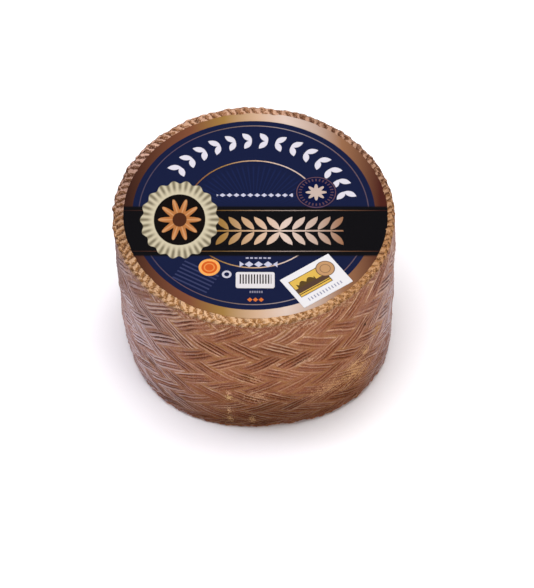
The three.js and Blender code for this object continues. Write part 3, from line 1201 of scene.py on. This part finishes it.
def make_sticker(colours):
    """The small sticker, turned, on the label."""
    middle = Vector(STICKER_MIDDLE[:2])
    corners = rounded_corners(STICKER_WIDTH, STICKER_DEPTH, STICKER_CORNER, CORNER_STEPS)
    cos, sin = math.cos(STICKER_TURN), math.sin(STICKER_TURN)
    spots = evened(corners, STICKER_STEP)
    outline = [middle + Vector((cos * p.x - sin * p.y, sin * p.x + cos * p.y)) for p in spots]
    low = LABEL_HIGH.z + STICKER_GAP
    material = sticker_material(colours)
    piece = make_paper("control_seal", outline, STICKER_RINGS, low, STICKER_THICKNESS, material)
    hand_over(piece, "control_sticker")


# The stage

FLOOR_RADIUS, FLOOR_HEIGHT, FLOOR_SIDES = 3.0, -0.0002, 96
FLOOR_COLOUR = (0.945, 0.93, 0.95, 1)
# The room's light near the floor and above, and its strength
ROOM_LIGHT, ROOM_DARK, ROOM_STRENGTH = "#fbfbff", "#5a5a62", 0.43
# The softboxes: name, place, target, and width and length in metres, power in watts, colour
LIGHTS = (
    ("overhead_softbox", (-0.07, 0.12, 1.6), (0, 0, 0.05), (1.5, 0.9), 35.8, "#ffffff"),
    ("left_strip", (-1.4, 0.2, 0.6), (0, 0, 0.06), (0.6, 0.9), 6, "#dfe2ff"),
    ("right_fill", (1.1, -1.0, 0.9), (0, 0, 0.06), (0.8, 0.8), 7.2, "#fffaf4"),
)


def make_floor():
    """The white ground, a disc that is far larger than the view."""
    mesh = bpy.data.meshes.new("floor")
    points = [(*(FLOOR_RADIUS * away), FLOOR_HEIGHT) for away in turns_round(FLOOR_SIDES)]
    mesh.from_pydata(points, [], [range(FLOOR_SIDES)])
    material, tree, shader = new_material("matt_white_sweep")
    dress(tree, shader, Base_Color=FLOOR_COLOUR, Roughness=0.9, Specular_IOR_Level=0.2)
    mesh.materials.append(material)
    floor = new_object("floor", mesh)
    floor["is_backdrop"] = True


def add_light(name, place, target, size, power, colour):
    """A softbox at a place, turned to its target."""
    data = bpy.data.lights.new(name, "AREA")
    data.shape = "RECTANGLE"
    data.size, data.size_y = size
    data.energy = power
    data.color = linear_colour(colour)[:3]
    light = new_object(name, data)
    light.location = place
    light.rotation_euler = (Vector(target) - Vector(place)).to_track_quat("-Z", "Y").to_euler()
    # A mirror image of the light would make the dark, glossy label hazy
    light.visible_glossy = False


def make_lights():
    """A large softbox overhead, one at the left, a weak fill, and a room that is light near the
    floor and darker above."""
    for light in LIGHTS:
        add_light(*light)
    world = bpy.data.worlds.new("studio")
    bpy.context.scene.world = world
    world.use_nodes = True
    tree = world.node_tree
    direction = add(tree, "ShaderNodeTexCoord").node.outputs["Generated"]
    up = parts_of(tree, direction)["Z"]
    high = work_out(tree, "high = ease(up, 0.25, 0.6)", up=up).high
    colour = paint(tree, ROOM_LIGHT, (ROOM_DARK, high))
    tree.links.new(colour, tree.nodes["Background"].inputs["Color"])
    tree.nodes["Background"].inputs["Strength"].default_value = ROOM_STRENGTH


# The photograph's view: its lens in pixels, and the pixel that the middle of the wheel falls on
IMAGE_WIDTH, IMAGE_HEIGHT = 534, 588
LENS_PIXELS = 4152.0
AIM_PIXEL = (253.80, 278.73)
AIM_HEIGHT = 46.65 * MM
VIEW_ELEVATION = math.radians(51.795)
VIEW_DISTANCE = 2.7987
SENSOR_WIDTH = 36.0


def make_camera():
    """The camera in the photograph's place, with its frame shifted as the photograph's is."""
    data = bpy.data.cameras.new("camera")
    data.sensor_fit = "HORIZONTAL"
    data.sensor_width = SENSOR_WIDTH
    data.lens = LENS_PIXELS / IMAGE_WIDTH * SENSOR_WIDTH
    data.shift_x = (IMAGE_WIDTH / 2 - AIM_PIXEL[0]) / IMAGE_WIDTH
    data.shift_y = (AIM_PIXEL[1] - IMAGE_HEIGHT / 2) / IMAGE_WIDTH
    data.clip_end = 20
    camera = new_object("camera", data)
    back = Vector((0, -math.cos(VIEW_ELEVATION), math.sin(VIEW_ELEVATION)))
    aim = Vector((PRINT_MIDDLE.x, PRINT_MIDDLE.y, AIM_HEIGHT))
    camera.location = aim + VIEW_DISTANCE * back
    camera.rotation_euler = (math.pi / 2 - VIEW_ELEVATION, 0, 0)
    bpy.context.scene.camera = camera


# The add-on


def length_property(name, default, description):
    """A length that the user can change."""
    limits = {"unit": "LENGTH", "precision": 5}
    return bpy.props.FloatProperty(name=name, description=description, default=default, **limits)


class CheeseSizes(bpy.types.PropertyGroup):
    """Sizes of the plait and the knots."""

    blocks_around: bpy.props.IntProperty(
        name="Blocks around", description="Blocks of the plait round the wheel", default=25, min=3
    )
    straws_in_float: bpy.props.IntProperty(
        name="Straws in a float", description="Straws side by side in a float", default=4, min=1
    )
    straw_height: length_property("Straw height", 1.3 * MM, "How far a straw stands out")
    knot_height: length_property("Knot height", 0.8 * MM, "How far a knot of the rim stands out")
    unevenness: bpy.props.FloatProperty(
        name="Unevenness",
        description="Share by which straws and knots differ in height",
        default=0.35,
        subtype="FACTOR",
        min=0,
        max=1,
    )
    seed: bpy.props.IntProperty(name="Seed", description="Seed of the chance values", default=41)


def colour_property(name, code, description):
    """A colour that the user can change, with its default as an sRGB hex value."""
    return bpy.props.FloatVectorProperty(
        name=name,
        description=description,
        default=linear_colour(code),
        size=4,
        min=0,
        max=1,
        subtype="COLOR",
    )


class CheeseColours(bpy.types.PropertyGroup):
    """Main colours of the rind, the label and the sticker."""

    rind: colour_property("Rind", "#9a5737", "Brown of the rind")
    rind_clouds: colour_property("Rind clouds", "#ae6f4a", "Lighter brown in soft clouds")
    # Also the colour of the painted shade in the grooves of the side
    groove: colour_property("Grooves", "#5e2a1a", "Grooves between the straws")
    # Also the colour of the painted highlight on the crests of the side
    crest: colour_property("Crests", "#d9a985", "Rubbed crests of the straws")
    seam: colour_property("Seams", "#c3924f", "Worn seams between the floats")
    # Colour of the painted sheen, a reflection of the light on the flanks
    bloom: colour_property("Bloom", "#c3b6ba", "Faint bloom on the sides")
    rim: colour_property("Rim", "#c39e7b", "Rubbed knots of the rim")
    label_field: colour_property("Label field", "#121833", "Round field of the label")
    label_band: colour_property("Label band", "#0d0c0e", "Band across the label")
    leaves: colour_property("Leaves", "#bcb8c0", "White leaves on the label")
    sticker: colour_property("Sticker", "#c6c3c4", "Paper of the sticker")


class MakeRind(bpy.types.Operator):
    """Makes the cheese with its plaited rind"""

    bl_idname = "cheese.make_rind"
    bl_label = "Rind"

    def execute(self, context):
        make_rind(context.scene.cheese_sizes, context.scene.cheese_colours)
        return {"FINISHED"}


class MakePapers(bpy.types.Operator):
    """Makes the printed label and the control sticker"""

    bl_idname = "cheese.make_papers"
    bl_label = "Label and sticker"

    def execute(self, context):
        make_label(context.scene.cheese_colours)
        make_sticker(context.scene.cheese_colours)
        return {"FINISHED"}


class MakeStage(bpy.types.Operator):
    """Makes the floor, the lights and the camera"""

    bl_idname = "cheese.make_stage"
    bl_label = "Stage"

    def execute(self, context):
        make_floor()
        make_lights()
        make_camera()
        context.scene.view_settings.view_transform = "Standard"
        return {"FINISHED"}


class CheesePanel(bpy.types.Panel):
    """Shows the sizes and colours of the cheese wheel, and the buttons that make its pieces"""

    bl_idname = "VIEW3D_PT_cheese"
    bl_label = "Cheese wheel"
    bl_space_type = "VIEW_3D"
    bl_region_type = "UI"
    bl_category = "Cheese"

    def draw(self, context):
        for group in (context.scene.cheese_sizes, context.scene.cheese_colours):
            for name in type(group).__annotations__:
                self.layout.prop(group, name)
        for operator in OPERATORS:
            self.layout.operator(operator.bl_idname)


OPERATORS = (MakeRind, MakePapers, MakeStage)
CLASSES = (CheeseSizes, CheeseColours, *OPERATORS, CheesePanel)


def register():
    """Adds the classes, and the groups of sizes and colours to the scene."""
    for item in CLASSES:
        bpy.utils.register_class(item)
    bpy.types.Scene.cheese_sizes = bpy.props.PointerProperty(type=CheeseSizes)
    bpy.types.Scene.cheese_colours = bpy.props.PointerProperty(type=CheeseColours)


def unregister():
    """Takes out what register added."""
    del bpy.types.Scene.cheese_sizes, bpy.types.Scene.cheese_colours
    for item in reversed(CLASSES):
        bpy.utils.unregister_class(item)


def main():
    """Makes the pieces and the stage, and works out the boxes of the solids and of the scene."""
    register()
    bpy.ops.cheese.make_rind()
    bpy.ops.cheese.make_papers()
    bpy.ops.cheese.make_stage()
    boxes = {"cad": cad_box, "visual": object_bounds()}
    lists = {name: [list(corner) for corner in box] for name, box in boxes.items()}


if __name__ == "__main__":
    main()
